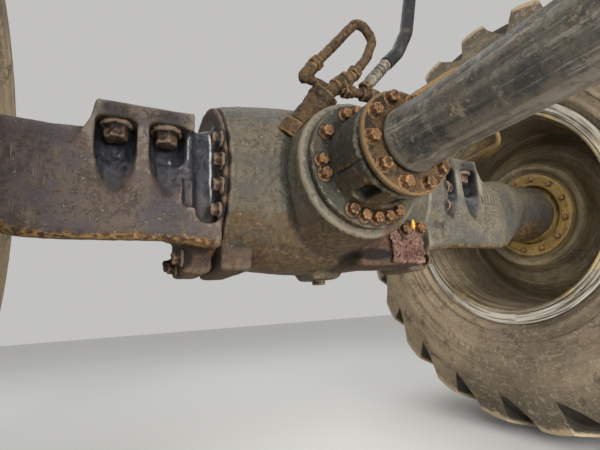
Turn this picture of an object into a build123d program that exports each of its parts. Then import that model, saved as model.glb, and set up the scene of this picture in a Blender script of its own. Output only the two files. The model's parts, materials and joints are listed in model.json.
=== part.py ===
from build123d import *
import os
from math import cos, sin, radians

# Front drive axle of a wheel loader, with both wheels and its propeller shaft.
# Sizes in mm. The model is drawn round the axle's own centre line (X along the axle to the machine's
# right, Y forward, Z up) and is moved down at the end, so that the origin lies on the frame pads.

# Frame pads, their bolts and the pockets that the bolts are reached through
pad_top = 90.0
pad_inner_x = 285.0
pad_outer_x = 452.0
arm_half_depth = 137.0
bolt_x_outer = 417.0
bolt_x_inner = 335.0
bolt_y = 105.0
bolt_hole_r = 13.0
bolt_seat_z = 62.0
pocket_r = 31.0
pocket_floor_z = 0.0
chute_end_z = -100.0
chute_run = 41.0

# Centre housing
centre_half = 236.0
centre_flange_r = 165.0
centre_bulge_r = 190.0
mouth_r = 134.0
mouth_y = -232.0
rear_lift = -16.0
ledge_inner_x = 175.0
ledge_half_depth = 96.0
ledge_bottom_z = -190.0

# Cast arms
arm_flange_r = 163.0
arm_flange_thick = 10.0
collar_end_x = 303.0
collar_top_z = 56.0
flange_pocket_end_x = 290.0
flange_pocket_floor_z = -112.0
flange_pocket_half_depth = 96.0
recess_end_x = 312.0
recess_half_depth = 119.0
recess_low_z = -84.0
recess_high_z = 58.0
arm_lug_end_x = 300.0
arm_lug_half_depth = 60.0
arm_bottom_z = -147.0
arm_bottom_rise = 60.0
arm_top_corner = 58.0
dip_start_x = 468.0
dip_end_x = 505.0
dip_top_z = 56.0
shoulder_bump_x = 552.0
neck_x = 700.0
neck_r = 92.0
arm_end_x = 845.0
arm_end_r = 90.0
spindle_r = 70.0
spindle_end_x = 985.0

# Pinion carrier and its nose, with windows between its lobes
carrier_flange_r = 119.0
carrier_flange_thick = 16.0
nose_r = 88.0
nose_core_r = 64.0
nose_length = 84.0
nose_window_count = 7
nose_window_first = -124.0
nose_window_pitch = 40.0
nose_window_width = 26.0
nose_window_start = 23.0
nose_window_length = 52.0
nose_groove_angle = -159.0

# Propeller shaft
companion_r = 90.0
companion_thick = 13.0
companion_gap = 9.0
companion_hub_r = 40.0
companion_hub_depth = 20.0
tube_r = 49.0
tube_end_r = 56.0
tube_taper_length = 70.0
tube_wall = 4.0
tube_length = 520.0
sleeve_r = 38.0
sleeve_length = 90.0
spline_r = 24.0
spline_length = 150.0
spline_overlap = 70.0
yoke_width = 98.0
yoke_ear_thick = 20.0
yoke_ear_r = 22.0
yoke_reach = 68.0
yoke_base_thick = 22.0
trunnion_r = 13.0
cross_hub_r = 24.0
end_flange_r = 62.0
end_flange_thick = 12.0
end_bolt_circle = 101.0
end_bolt_hole_r = 6.0
end_bolt_count = 8

# Wheels
wheel_x = 880.0
rim_half_width = 188.0
rim_flange_r = 350.0
bead_seat_r = 317.5
rim_wall = 9.0
well_r = 303.0
tyre_r = 675.0
tyre_half_width = 222.5
tyre_wall = 30.0
groove_depth = 35.0
lug_count = 21
lug_phase = 11.4
lug_skew = -11.0
lug_shoulder_width = 87.0
lug_centre_width = 66.0
lug_foot_spread = 74.0
lug_lean = 12.0
shoulder_x = 190.0
shoulder_r = 645.0
hub_flange_r = 139.0
hub_flange_x = 859.0
hub_flange_thick = 18.0
hub_barrel_r = 116.0
hub_recess_r = 104.0
hub_recess_depth = 25.0
hub_end_x = 1010.0
cover_r = 112.0
cover_thick = 16.0
disc_collar_r = 170.0
disc_wall = 14.0
disc_weld_x = 945.0

# Brake fittings
brake_cylinder_r = 27.0
brake_union_r = 14.0
brake_pipe_r = 10.0
thin_pipe_r = 7.0
hose_r = 15.0

# Clearances
running_gap = 0.3
seat_gap = 0.2

os.makedirs("parts", exist_ok=True)
made = {}


def turned(points, axis=Axis.X):
    """A solid of revolution; points are (along, radius) pairs round the X axis."""
    return revolve(make_face(Plane.XZ * Polyline(*points, close=True)), axis, 360)


def turned_y(points):
    """A solid of revolution about the pinion's axis; points are (y, radius) pairs."""
    face = make_face(Plane.YZ * Polyline(*points, close=True))
    return Pos(0, 0, rear_lift) * revolve(face, Axis.Y, 360)


def rod(start, end, radius):
    """A round bar between two points."""
    path = Line(start, end)
    return sweep(Plane(origin=start, z_dir=path % 0) * Circle(radius), path=path)


def pipe(points, radius, bends):
    """A round pipe along straight runs joined by tangent arcs."""
    path = FilletPolyline(*points, radius=bends)
    return sweep(Plane(origin=points[0], z_dir=path % 0) * Circle(radius), path=path)


def beam_section(x, half_depth, low, rise, high, top_corner, low_corner):
    """A section across the arm: flat rear and front, rounded corners, underside that rises to the front."""
    corners = [(-half_depth, low), (half_depth, low + rise), (half_depth, high), (-half_depth, high)]
    face = make_face(Polyline(*corners, close=True))
    face = fillet(face.vertices().sort_by(Axis.Y)[-2:], top_corner)
    sharp = [face.vertices().sort_by_distance((y, z))[0] for y, z in corners[:2]]
    face = fillet(sharp, low_corner)
    return Plane(origin=(x, 0, 0), x_dir=(0, 1, 0), z_dir=(1, 0, 0)) * face


# Centre housing: a swelling barrel, the rear mouth, and the ledges and bosses under it
def centre_housing():
    profile = [
        Line((-centre_half, 0), (-centre_half, centre_flange_r)),
        ThreePointArc((-centre_half, centre_flange_r), (0, centre_bulge_r), (centre_half, centre_flange_r)),
        Line((centre_half, centre_flange_r), (centre_half, 0)),
        Line((centre_half, 0), (-centre_half, 0)),
    ]
    body = revolve(make_face(Plane.XZ * Wire(profile)), Axis.X, 360)
    mouth = turned_y([(0, 0), (mouth_y, 0), (mouth_y, mouth_r), (mouth_y + 24, mouth_r),
                      (-60, mouth_r + 20), (0, mouth_r + 20)])
    body = body + mouth
    # Ledges and bosses under the barrel: x, y, z of the middle, then length, depth, height and corner
    ledge_length = centre_half - ledge_inner_x
    lumps = [
        (ledge_length / 2 - centre_half, 0.0, ledge_bottom_z / 2 - 55, ledge_length, 2 * ledge_half_depth, 80.0, 8.0),
        (24.0, 10.0, -182.0, 80.0, 96.0, 42.0, 14.0),
        (118.0, -98.0, -160.0, 166.0, 118.0, 58.0, 9.0),
        (152.0, -112.0, -142.0, 84.0, 98.0, 90.0, 12.0),
        (86.0, -132.0, -124.0, 36.0, 44.0, 24.0, 4.0),
    ]
    for x, y, z, length, depth, height, corner in lumps:
        block = Pos(x, y, z) * Box(length, depth, height)
        body = body + fillet(block.edges(), corner)
    # Slot along the rear of the long ledge
    return body - Pos(74.0, -152.0, -177.0) * fillet(Box(70.0, 40.0, 12.0).edges().filter_by(Axis.Y), 5.0)


# Arms: flange, beam with the frame pad on it, bolt pockets, round neck and spindle
def arm(collared):
    """One arm, as the right one. Its flange is a thin one with a slot for its bolts, or a deep round collar."""
    flange_outer = centre_half + arm_flange_thick
    flange = turned([(centre_half, 0), (centre_half, arm_flange_r), (flange_outer, arm_flange_r),
                     (flange_outer, 0)])
    # Sections of the beam: x, half depth, bottom, rise of the bottom, top, top corner, bottom corner
    low, rise = arm_bottom_z, arm_bottom_rise
    stations = [
        (flange_outer - 2, arm_half_depth, low - 10, rise - 20, pad_top - 4, 30.0, 20.0),
        (330.0, arm_half_depth, low, rise, dip_top_z + 6, arm_top_corner, 20.0),
        (dip_end_x, arm_half_depth, low, rise, dip_top_z, arm_top_corner, 20.0),
        (shoulder_bump_x, arm_half_depth - 8, low + 5, rise - 6, dip_top_z + 12, 80.0, 30.0),
        (630.0, 110.0, -112.0, 20.0, 84.0, 78.0, 60.0),
        (neck_x, neck_r, -neck_r, 0.0, neck_r, neck_r - 1, neck_r - 1),
    ]
    beam = loft([beam_section(*station) for station in stations], ruled=True)
    # Pad on the beam, with a steep shoulder down to the dip
    side = make_face([
        Line((pad_inner_x, -40), (pad_inner_x, pad_top)),
        Line((pad_inner_x, pad_top), (pad_outer_x, pad_top)),
        ThreePointArc((pad_outer_x, pad_top), (pad_outer_x + 5, dip_top_z - 4), (dip_start_x, dip_top_z - 22)),
        Line((dip_start_x, dip_top_z - 22), (dip_start_x, -40)),
        Line((dip_start_x, -40), (pad_inner_x, -40)),
    ])
    pad = extrude(Plane.XZ * side, arm_half_depth, both=True)
    body = flange + beam + pad
    lug = Pos((flange_outer + arm_lug_end_x) / 2 - 1, 0, (ledge_bottom_z - 90) / 2)
    lug = lug * Box(arm_lug_end_x - flange_outer + 2, 2 * arm_lug_half_depth, -90 - ledge_bottom_z)
    body = body + fillet(lug.edges().filter_by(Axis.Y), 12.0)
    if collared:
        body = body + collar()
    for side_sign in (-1, 1):
        if not collared:
            body = body - flange_pocket(side_sign)
        for x in (bolt_x_inner, bolt_x_outer):
            body = body - bolt_pocket(x, side_sign)
    neck = turned([(neck_x - 2, 0), (neck_x - 2, neck_r - 1), (arm_end_x - 45, neck_r - 1),
                   (arm_end_x - 40, arm_end_r), (arm_end_x, arm_end_r), (arm_end_x, spindle_r),
                   (spindle_end_x, spindle_r), (spindle_end_x, 0)])
    return body + neck


def collar():
    """The deep flange of the right arm, cut flat below the frame pad."""
    ring = turned([(centre_half + 1, 0), (centre_half + 1, arm_flange_r), (collar_end_x - 5, arm_flange_r),
                   (collar_end_x, arm_flange_r - 5), (collar_end_x, 0)])
    room = Pos((collar_end_x + centre_half + arm_flange_thick) / 2, 0, collar_top_z + 100)
    return ring - room * Box(collar_end_x - centre_half - arm_flange_thick, 400, 200)


def bolt_pocket(x, side_sign):
    """The room round one frame bolt's head, the chute that fades out below it, and the bolt hole."""
    y = side_sign * bolt_y
    height = bolt_seat_z - pocket_floor_z
    middle_z = (bolt_seat_z + pocket_floor_z) / 2
    room = Pos(x, y, middle_z) * Cylinder(pocket_r, height)
    room = room + Pos(x, y + side_sign * 25, middle_z) * Box(2 * pocket_r, 50, height)
    start = (x, side_sign * (arm_half_depth - 4), pocket_floor_z + 10)
    chute = rod(start, (x, side_sign * (arm_half_depth + chute_run), chute_end_z), pocket_r)
    return room + chute + Pos(x, y, pad_top) * Cylinder(bolt_hole_r, 80)


def flange_pocket(side_sign):
    """The upright slot beside the flange that its bolts are reached through."""
    inner = centre_half + arm_flange_thick
    width = flange_pocket_end_x - inner
    height = pad_top + 20 - flange_pocket_floor_z
    depth = arm_half_depth + 20 - flange_pocket_half_depth
    slot = Box(width, depth, height)
    slot = fillet(slot.edges().filter_by(Axis.Y).group_by(Axis.Z)[0], width / 2 - 1)
    y = side_sign * (flange_pocket_half_depth + depth / 2)
    slot = Pos((inner + flange_pocket_end_x) / 2, y, flange_pocket_floor_z + height / 2) * slot
    # The low ridge between this slot and the inner bolt pocket
    ridge = Box(recess_end_x - inner, 60, recess_high_z - recess_low_z)
    y = side_sign * (recess_half_depth + 30)
    return slot + Pos((inner + recess_end_x) / 2, y, (recess_high_z + recess_low_z) / 2) * ridge


# Pinion carrier: bolted flange and nose
def pinion_carrier():
    face_y = mouth_y - carrier_flange_thick
    nose_y = face_y - nose_length
    body = turned_y([(mouth_y, 0), (mouth_y, carrier_flange_r), (face_y, carrier_flange_r),
                     (face_y, nose_r + 5),
                     (face_y - 5, nose_r), (nose_y, nose_r), (nose_y, 0)])
    depth = nose_r - nose_core_r + 10
    middle_y = face_y - nose_window_start - nose_window_length / 2
    window = Pos(0, middle_y, nose_core_r + depth / 2) * Box(nose_window_width, nose_window_length, depth)
    for i in range(nose_window_count):
        angle = nose_window_first + i * nose_window_pitch
        body = body - Pos(0, 0, rear_lift) * Rot(0, 90 - angle, 0) * window
    groove = Pos(0, face_y - nose_length / 2 - 8, nose_r) * Box(8.0, nose_length, 20.0)
    body = body - Pos(0, 0, rear_lift) * Rot(0, 90 - nose_groove_angle, 0) * groove
    bore_r = companion_hub_r + running_gap
    bore = turned_y([(nose_y, 0), (nose_y, bore_r), (nose_y + companion_hub_depth + 5, bore_r),
                     (nose_y + companion_hub_depth + 5, 0)])
    return body - bore


# Propeller shaft: companion flange, tube, slip yoke, cross and end yoke
nose_end_y = mouth_y - carrier_flange_thick - nose_length
companion_y = nose_end_y - companion_gap
tube_y = companion_y - companion_thick
tube_end_y = tube_y - tube_length
sleeve_end_y = tube_end_y - sleeve_length
spline_start_y = sleeve_end_y + spline_overlap
slip_yoke_y = spline_start_y - spline_length
cross_y = slip_yoke_y - yoke_reach
end_yoke_y = cross_y - yoke_reach


def companion_flange():
    hub_y = nose_end_y + companion_hub_depth
    return turned_y([(hub_y, 0), (hub_y, companion_hub_r), (companion_y, companion_hub_r),
                     (companion_y, companion_r - 4),
                     (companion_y - 4, companion_r), (tube_y, companion_r), (tube_y, 0)])


def shaft_tube():
    inner = tube_r - tube_wall
    return turned_y([(tube_y, 0), (tube_y, tube_end_r - 6), (tube_y - 8, tube_end_r),
                     (tube_y - tube_taper_length, tube_r),
                     (tube_end_y + 20, tube_r), (tube_end_y, sleeve_r), (sleeve_end_y, sleeve_r),
                     (sleeve_end_y, spline_r + running_gap), (tube_end_y + 10, spline_r + running_gap),
                     (tube_end_y + 20, inner), (tube_y - 26, inner), (tube_y - 14, 0)])


def yoke_ears(base_y, direction, turn):
    """Two ears that reach from base_y along Y, with the trunnion bores; turn is about Y."""
    ears = None
    reach = yoke_reach
    for side_sign in (-1, 1):
        x = side_sign * (yoke_width - yoke_ear_thick) / 2
        length = reach + yoke_base_thick
        web_y = base_y + direction * (reach - yoke_base_thick) / 2
        web = Pos(x, web_y, 0) * Box(yoke_ear_thick, length, 2 * yoke_ear_r)
        tip = Pos(x, base_y + direction * reach, 0) * Rot(0, 90, 0) * Cylinder(yoke_ear_r, yoke_ear_thick)
        bore = Pos(x, base_y + direction * reach, 0) * Rot(0, 90, 0)
        ear = web + tip - bore * Cylinder(trunnion_r + 0.1, yoke_ear_thick + 2)
        ears = ear if ears is None else ears + ear
    return Pos(0, 0, rear_lift) * Rot(0, turn, 0) * ears


def slip_yoke():
    spline = turned_y([(spline_start_y, 0), (spline_start_y, spline_r), (slip_yoke_y, spline_r),
                       (slip_yoke_y, yoke_width / 2), (slip_yoke_y - yoke_base_thick, yoke_width / 2),
                       (slip_yoke_y - yoke_base_thick, 0)])
    return spline + yoke_ears(slip_yoke_y, -1, 90)


def joint_cross():
    cross_half = yoke_width / 2 - 2
    hub = Box(2 * cross_hub_r, 2 * cross_hub_r, 2 * cross_hub_r)
    hub = fillet(hub.edges(), 6)
    arms = Cylinder(trunnion_r, 2 * cross_half) + Rot(0, 90, 0) * Cylinder(trunnion_r, 2 * cross_half)
    return Pos(0, cross_y, rear_lift) * (hub + arms)


def end_yoke():
    face_y = end_yoke_y - end_flange_thick
    flange = turned_y([(end_yoke_y + yoke_base_thick, 0), (end_yoke_y + yoke_base_thick, yoke_width / 2),
                       (end_yoke_y, yoke_width / 2), (end_yoke_y, end_flange_r), (face_y, end_flange_r),
                       (face_y, 0)])
    body = flange + yoke_ears(end_yoke_y, 1, 0)
    for i in range(end_bolt_count):
        angle = radians((i + 0.5) * 360 / end_bolt_count)
        x = end_bolt_circle / 2 * cos(angle)
        z = end_bolt_circle / 2 * sin(angle) + rear_lift
        body = body - Pos(x, face_y, z) * Rot(90, 0, 0) * Cylinder(end_bolt_hole_r, 60)
    return body


# Wheel pieces, drawn for the right side; the left ones are their mirror images
def at_wheel(points):
    """Shift (offset from the wheel's middle plane, radius) pairs out to the right wheel."""
    return [(wheel_x + offset, radius) for offset, radius in points]


def rim_base():
    edge = rim_half_width - 8
    seat = bead_seat_r
    inner = [(-edge, seat - rim_wall), (-120, seat - rim_wall - 3), (-96, well_r - rim_wall),
             (96, well_r - rim_wall), (120, seat - rim_wall - 3), (edge, seat - rim_wall)]
    outer = [(edge, seat), (122, seat - 3), (98, well_r), (-98, well_r), (-122, seat - 3), (-edge, seat)]
    return turned(at_wheel(inner + outer))


def side_ring(sign):
    low = bead_seat_r + seat_gap
    points = [(-180, low), (-168, low), (-170, low + 6), (-176, low + 14), (-177, rim_flange_r - 8),
              (-181, rim_flange_r - 2), (-186, rim_flange_r), (-rim_half_width, rim_flange_r - 4),
              (-184, low + 12)]
    return turned([(wheel_x - sign * offset, radius) for offset, radius in points])


def wheel_disc():
    seat_x = hub_flange_x + hub_flange_thick
    hole_r = hub_barrel_r + 2
    rise_x = seat_x - disc_wall
    edge = well_r - rim_wall - seat_gap
    near = [(seat_x, hole_r), (seat_x, hub_flange_r + 6), (hub_flange_x - 2, hub_flange_r + 16),
            (hub_flange_x - 6, disc_collar_r), (rise_x + 30, disc_collar_r + 24),
            (disc_weld_x - 10, edge - 18),
            (disc_weld_x, edge)]
    far = [(disc_weld_x + disc_wall, edge), (disc_weld_x + 4, edge - 24), (rise_x + 46, disc_collar_r + 16),
           (hub_flange_x + 12, disc_collar_r - 2), (seat_x + disc_wall, hub_flange_r),
           (seat_x + disc_wall, hole_r)]
    return turned(near + far)


def hub():
    bore_r = spindle_r + running_gap
    seat_x = hub_flange_x + hub_flange_thick
    recess_x = hub_flange_x + hub_recess_depth
    return turned([(recess_x, bore_r), (recess_x, hub_recess_r - 7), (hub_flange_x, hub_recess_r),
                   (hub_flange_x, hub_flange_r), (seat_x, hub_flange_r), (seat_x, hub_barrel_r),
                   (hub_end_x, hub_barrel_r), (hub_end_x, 0), (spindle_end_x + 8, 0),
                   (spindle_end_x + 8, bore_r)])


def hub_cover():
    end = hub_end_x + cover_thick
    return turned([(hub_end_x, 0), (hub_end_x, cover_r), (end - 6, cover_r), (end, cover_r - 8),
                   (end + 14, 62),
                   (end + 18, 54), (end + 18, 0)])


def tyre():
    low = bead_seat_r + seat_gap
    half = tyre_half_width
    floor_r = tyre_r - groove_depth
    side = [(140, low), (166, low), (172, low + 12), (174, rim_flange_r - 4), (194, rim_flange_r + 10),
            (half - 6, 412), (half, 480), (half - 8, 548), (half - 30, 594), (half - 62, 620),
            (110, floor_r - 6)]
    inner = [(138, low + 16), (148, rim_flange_r + 4), (half - tyre_wall - 6, 430), (half - tyre_wall, 500),
             (half - tyre_wall - 22, 570), (100, floor_r - tyre_wall - 6)]
    points = side + [(-offset, radius) for offset, radius in reversed(side)]
    points = points + [(-offset, radius) for offset, radius in inner]
    points = points + list(reversed(inner))
    body = turned(at_wheel(points))
    pitch = 360 / lug_count
    lug = tread_lug()
    for i in range(lug_count):
        near = Rot(lug_phase + i * pitch, 0, 0) * lug
        far = Rot(lug_phase + (i + 0.5) * pitch, 0, 0) * mirror(lug, about=Plane.YZ)
        body = body + Pos(wheel_x, 0, 0) * near + Pos(wheel_x, 0, 0) * far
    return body


def tread_lug():
    """One tread bar, at the bottom of the wheel: it grows out of the wall with a wide leaning foot, has its
    square end on the shoulder and runs back across the tread to just past the middle."""
    floor_r = tyre_r - groove_depth
    wall_x = tyre_half_width - 10
    # Sections: (offset, turn in degrees, width at top, top radius, bottom radius, spread of the foot)
    stations = [
        (-wall_x, 0.0, lug_shoulder_width + 30, shoulder_r - 82, shoulder_r - 105, lug_foot_spread * 0.5),
        (-shoulder_x, 0.0, lug_shoulder_width, shoulder_r, shoulder_r - 62, lug_foot_spread),
        (-110, lug_skew * 0.45, lug_shoulder_width - 12, tyre_r - 8, floor_r - 20, lug_foot_spread * 0.25),
        (6, lug_skew, lug_centre_width, tyre_r, floor_r - 12, lug_foot_spread * 0.15),
    ]
    faces = []
    for offset, turn, width, top, bottom, spread in stations:
        front = width / 2
        outline = Polyline((lug_lean - front, -bottom), (-front, -top), (front, -top),
                           (front + spread, -bottom), close=True)
        plane = Plane(origin=(offset, 0, 0), x_dir=(0, 1, 0), z_dir=(1, 0, 0))
        faces.append(Rot(turn, 0, 0) * make_face(plane * outline))
    return loft(faces, ruled=True)


# Brake fittings and plugs, on the rear and top of the housing
cylinder_foot = (-112.0, -158.0, 58.0)
cylinder_top = (-52.0, -204.0, 143.0)
elbow_corner = (-103.0, -215.0, 162.0)
elbow_joint = (-42.0, -208.0, 153.0)
bend_route = [(9.0, -215.0, 191.0), (51.0, -215.0, 242.0), (76.0, -215.0, 294.0), (42.0, -215.0, 335.0),
              (-84.0, -215.0, 187.0)]
bend_radii = [60.0, 26.0, 22.0]
tee_start = (-22.0, -213.0, 154.0)
tee_end = (118.0, -215.0, 156.0)
ferrule_start = (36.0, -215.0, 168.0)
ferrule_end = (104.0, -215.0, 243.0)
hose_route = [(104.0, -215.0, 243.0), (142.0, -215.0, 282.0), (178.0, -215.0, 345.0),
              (206.0, -215.0, 450.0)]
right_route = [(118.0, -215.0, 156.0), (150.0, -215.0, 165.0), (267.0, -215.0, 246.0),
               (330.0, -215.0, 290.0),
               (400.0, -215.0, 270.0), (487.0, -190.0, 125.0), (487.0, 0.0, 112.0), (487.0, 10.0, 40.0)]
left_route = [(30.0, -210.0, 160.0), (30.0, -130.0, 216.0), (8.0, 10.0, 226.0), (-90.0, 150.0, 190.0),
              (-300.0, 196.0, 90.0), (-486.0, 196.0, 20.0), (-486.0, 130.0, 10.0)]
line_bend = 26.0


def between(start, end, share):
    """A point part of the way from start to end."""
    return tuple(a + (b - a) * share for a, b in zip(start, end))


def brake_cylinder(housing):
    barrel = rod(cylinder_foot, cylinder_top, brake_cylinder_r)
    barrel = barrel + rod(cylinder_foot, between(cylinder_foot, cylinder_top, 0.28), brake_cylinder_r + 6)
    cap = rod(between(cylinder_foot, cylinder_top, 0.85), cylinder_top, brake_cylinder_r + 2)
    union = rod(between(cylinder_foot, cylinder_top, 0.95), bend_route[0], brake_union_r)
    for share in (0.35, 0.72):
        start = between(cylinder_top, bend_route[0], share)
        union = union + rod(start, between(start, bend_route[0], 0.4), brake_union_r + 3)
    return barrel + cap + union - housing


def pipe_elbow(cylinder):
    body = rod(elbow_corner, elbow_joint, 9.0) + Pos(*elbow_corner) * Sphere(12.0)
    body = body + rod(elbow_corner, bend_route[-1], 13.0)
    return body - cylinder


def brake_tee(cylinder):
    body = rod(tee_start, tee_end, 9.0)
    for share, length, radius in ((0.12, 0.10, 12.0), (0.36, 0.16, 14.0), (0.58, 0.08, 13.0),
                                  (0.74, 0.20, 12.0)):
        start = between(tee_start, tee_end, share)
        body = body + rod(start, between(tee_start, tee_end, share + length), radius)
    return body - cylinder


def hose_ferrule():
    return rod(ferrule_start, ferrule_end, hose_r - 3)


def drain_plug():
    return Pos(24.0, 10.0, -203.0 - 5) * Cylinder(15.0, 10)


def breather():
    x, y, base = 110.0, 105.0, 145.0
    stem = Pos(x, y, base + 14) * Cylinder(9.0, 28)
    return stem + Pos(x, y, base + 34) * Cylinder(15.0, 12)


made["centre_housing"] = centre_housing()
made["arm_right"] = arm(True)
made["arm_left"] = mirror(arm(False), about=Plane.YZ)
made["pinion_carrier"] = pinion_carrier()
housing = made["centre_housing"]
made["brake_pipe_bend"] = pipe(bend_route, brake_pipe_r, bend_radii)
made["brake_cylinder"] = brake_cylinder(housing) - made["brake_pipe_bend"]
made["pipe_elbow"] = pipe_elbow(made["brake_cylinder"]) - made["brake_pipe_bend"]
made["brake_line_right"] = pipe(right_route, thin_pipe_r, line_bend) - made["arm_right"]
made["brake_line_left"] = pipe(left_route, thin_pipe_r, line_bend) - made["arm_left"]
made["brake_tee"] = brake_tee(made["brake_cylinder"]) - made["brake_line_right"] - made["brake_line_left"]
made["brake_hose"] = pipe(hose_route, hose_r, [60.0, 60.0])
made["hose_ferrule"] = hose_ferrule() - made["brake_tee"] - made["brake_hose"]
made["drain_plug"] = drain_plug()
made["breather"] = breather() - housing
made["companion_flange"] = companion_flange()
made["shaft_tube"] = shaft_tube()
made["slip_yoke"] = slip_yoke()
made["joint_cross"] = joint_cross()
made["end_yoke"] = end_yoke()
wheel_pieces = {
    "rim_base": rim_base(),
    "inner_side_ring": side_ring(1),
    "outer_side_ring": side_ring(-1),
    "wheel_disc": wheel_disc(),
    "wheel_hub": hub(),
    "hub_cover": hub_cover(),
    "tyre": tyre(),
}
for name, piece in wheel_pieces.items():
    made[name + "_right"] = piece
    made[name + "_left"] = mirror(piece, about=Plane.YZ)

for name, piece in made.items():
    export_step(Pos(0, 0, -pad_top) * piece, "parts/" + name + ".step")
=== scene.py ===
import json
from math import ceil, cos, pi, radians, sin, sqrt
from random import Random

import bmesh
import bpy
import numpy as np
from mathutils import Matrix, Vector, noise


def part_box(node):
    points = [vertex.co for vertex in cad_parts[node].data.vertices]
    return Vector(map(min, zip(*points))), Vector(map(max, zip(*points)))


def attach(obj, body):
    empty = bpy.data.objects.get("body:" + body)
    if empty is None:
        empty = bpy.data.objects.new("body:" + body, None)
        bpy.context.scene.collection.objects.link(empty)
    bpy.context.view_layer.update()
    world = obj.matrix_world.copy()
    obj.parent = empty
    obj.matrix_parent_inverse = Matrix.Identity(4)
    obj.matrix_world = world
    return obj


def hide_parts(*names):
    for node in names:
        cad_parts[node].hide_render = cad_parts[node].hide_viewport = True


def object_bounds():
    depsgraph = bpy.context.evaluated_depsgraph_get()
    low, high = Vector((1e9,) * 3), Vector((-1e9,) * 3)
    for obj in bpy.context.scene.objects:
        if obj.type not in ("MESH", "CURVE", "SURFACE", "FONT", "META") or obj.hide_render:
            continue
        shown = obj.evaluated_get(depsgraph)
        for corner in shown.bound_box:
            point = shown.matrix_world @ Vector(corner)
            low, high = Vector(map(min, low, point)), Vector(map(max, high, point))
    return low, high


bl_info = {
    "name": "Loader Drive Axle Dressing",
    "version": (1, 0, 0),
    "blender": (4, 5, 0),
    "location": "3D View > Sidebar > Axle",
    "description": "Dresses a loader's drive axle: castings, bolts, tyres, wheels, shaft and brake pipes",
    "category": "Object",
}

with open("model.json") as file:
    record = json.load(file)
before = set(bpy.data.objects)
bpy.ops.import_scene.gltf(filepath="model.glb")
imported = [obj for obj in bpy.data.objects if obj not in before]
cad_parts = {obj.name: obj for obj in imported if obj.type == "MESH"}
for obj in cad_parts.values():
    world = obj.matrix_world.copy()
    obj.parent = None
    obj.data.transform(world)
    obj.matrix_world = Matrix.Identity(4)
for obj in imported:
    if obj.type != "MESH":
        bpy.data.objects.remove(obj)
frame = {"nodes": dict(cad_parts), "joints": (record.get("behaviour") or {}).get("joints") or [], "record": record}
cad_low, cad_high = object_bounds()
places = {joint["name"]: Vector(joint.get("pos_m") or (0, 0, 0)) for joint in frame["joints"]}

# The photograph's own width in pixels, and the camera solved from it, placed from the axle
PHOTO_WIDTH_PX = 600
FOCAL_PX = 384.0
SENSOR_MM = 36.0
CAMERA_YAW, CAMERA_PITCH, CAMERA_ROLL = 0.480, 0.219, -0.065
CAMERA_PLACE = (-0.426, -0.779, -0.269)

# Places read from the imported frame: the axle's and the pinion's heights, the wheels' middle
AXLE_Z = places["wheel_right_spin"].z
WHEEL_X = places["wheel_right_spin"].x
PINION_Z = places["shaft_spin"].z
SIDES = (("left", -1), ("right", 1))


def face(node, axis, end):
    """Where a CAD node ends along an axis: end 0 is its low end and 1 its high end."""
    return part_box(node)[end]["xyz".index(axis)]


PAD_END_X = face("arm_right", "x", 0) + 0.216
FLANGE_X = face("centre_housing", "x", 1)
COLLAR_X = FLANGE_X + 0.067
HUB_X = face("wheel_hub_right", "x", 0)
HUB_END_X = face("hub_cover_right", "x", 0)
COVER_END_X = face("hub_cover_right", "x", 1)
CARRIER_Y = face("pinion_carrier", "y", 1) - 0.016
NOSE_END_Y = face("pinion_carrier", "y", 0)
COMPANION_Y = face("shaft_tube", "y", 1)
TUBE_END_Y = face("shaft_tube", "y", 0)
TYRE_R = (face("tyre_right", "z", 1) - face("tyre_right", "z", 0)) / 2
TYRE_HALF = (face("tyre_right", "x", 1) - face("tyre_right", "x", 0)) / 2
LUGS = 21
LUG_PHASE = radians(11.4)


def maths(operation, turned=False):
    """An operator that adds a Math node. Its reflected form has the two sides turned round."""
    def joined(self, other):
        first, second = (other, self) if turned else (self, other)
        return self.finish.node("ShaderNodeMath", {"operation": operation}, {0: first, 1: second})
    return joined


class Wire:
    """A socket of a material under construction, so that shader maths reads as an expression."""

    def __init__(self, finish, socket):
        self.finish = finish
        self.socket = socket

    __add__, __radd__ = maths("ADD"), maths("ADD", True)
    __sub__, __rsub__ = maths("SUBTRACT"), maths("SUBTRACT", True)
    __mul__, __rmul__ = maths("MULTIPLY"), maths("MULTIPLY", True)
    __pow__ = maths("POWER")
    arctan2 = maths("ARCTAN2")


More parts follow.
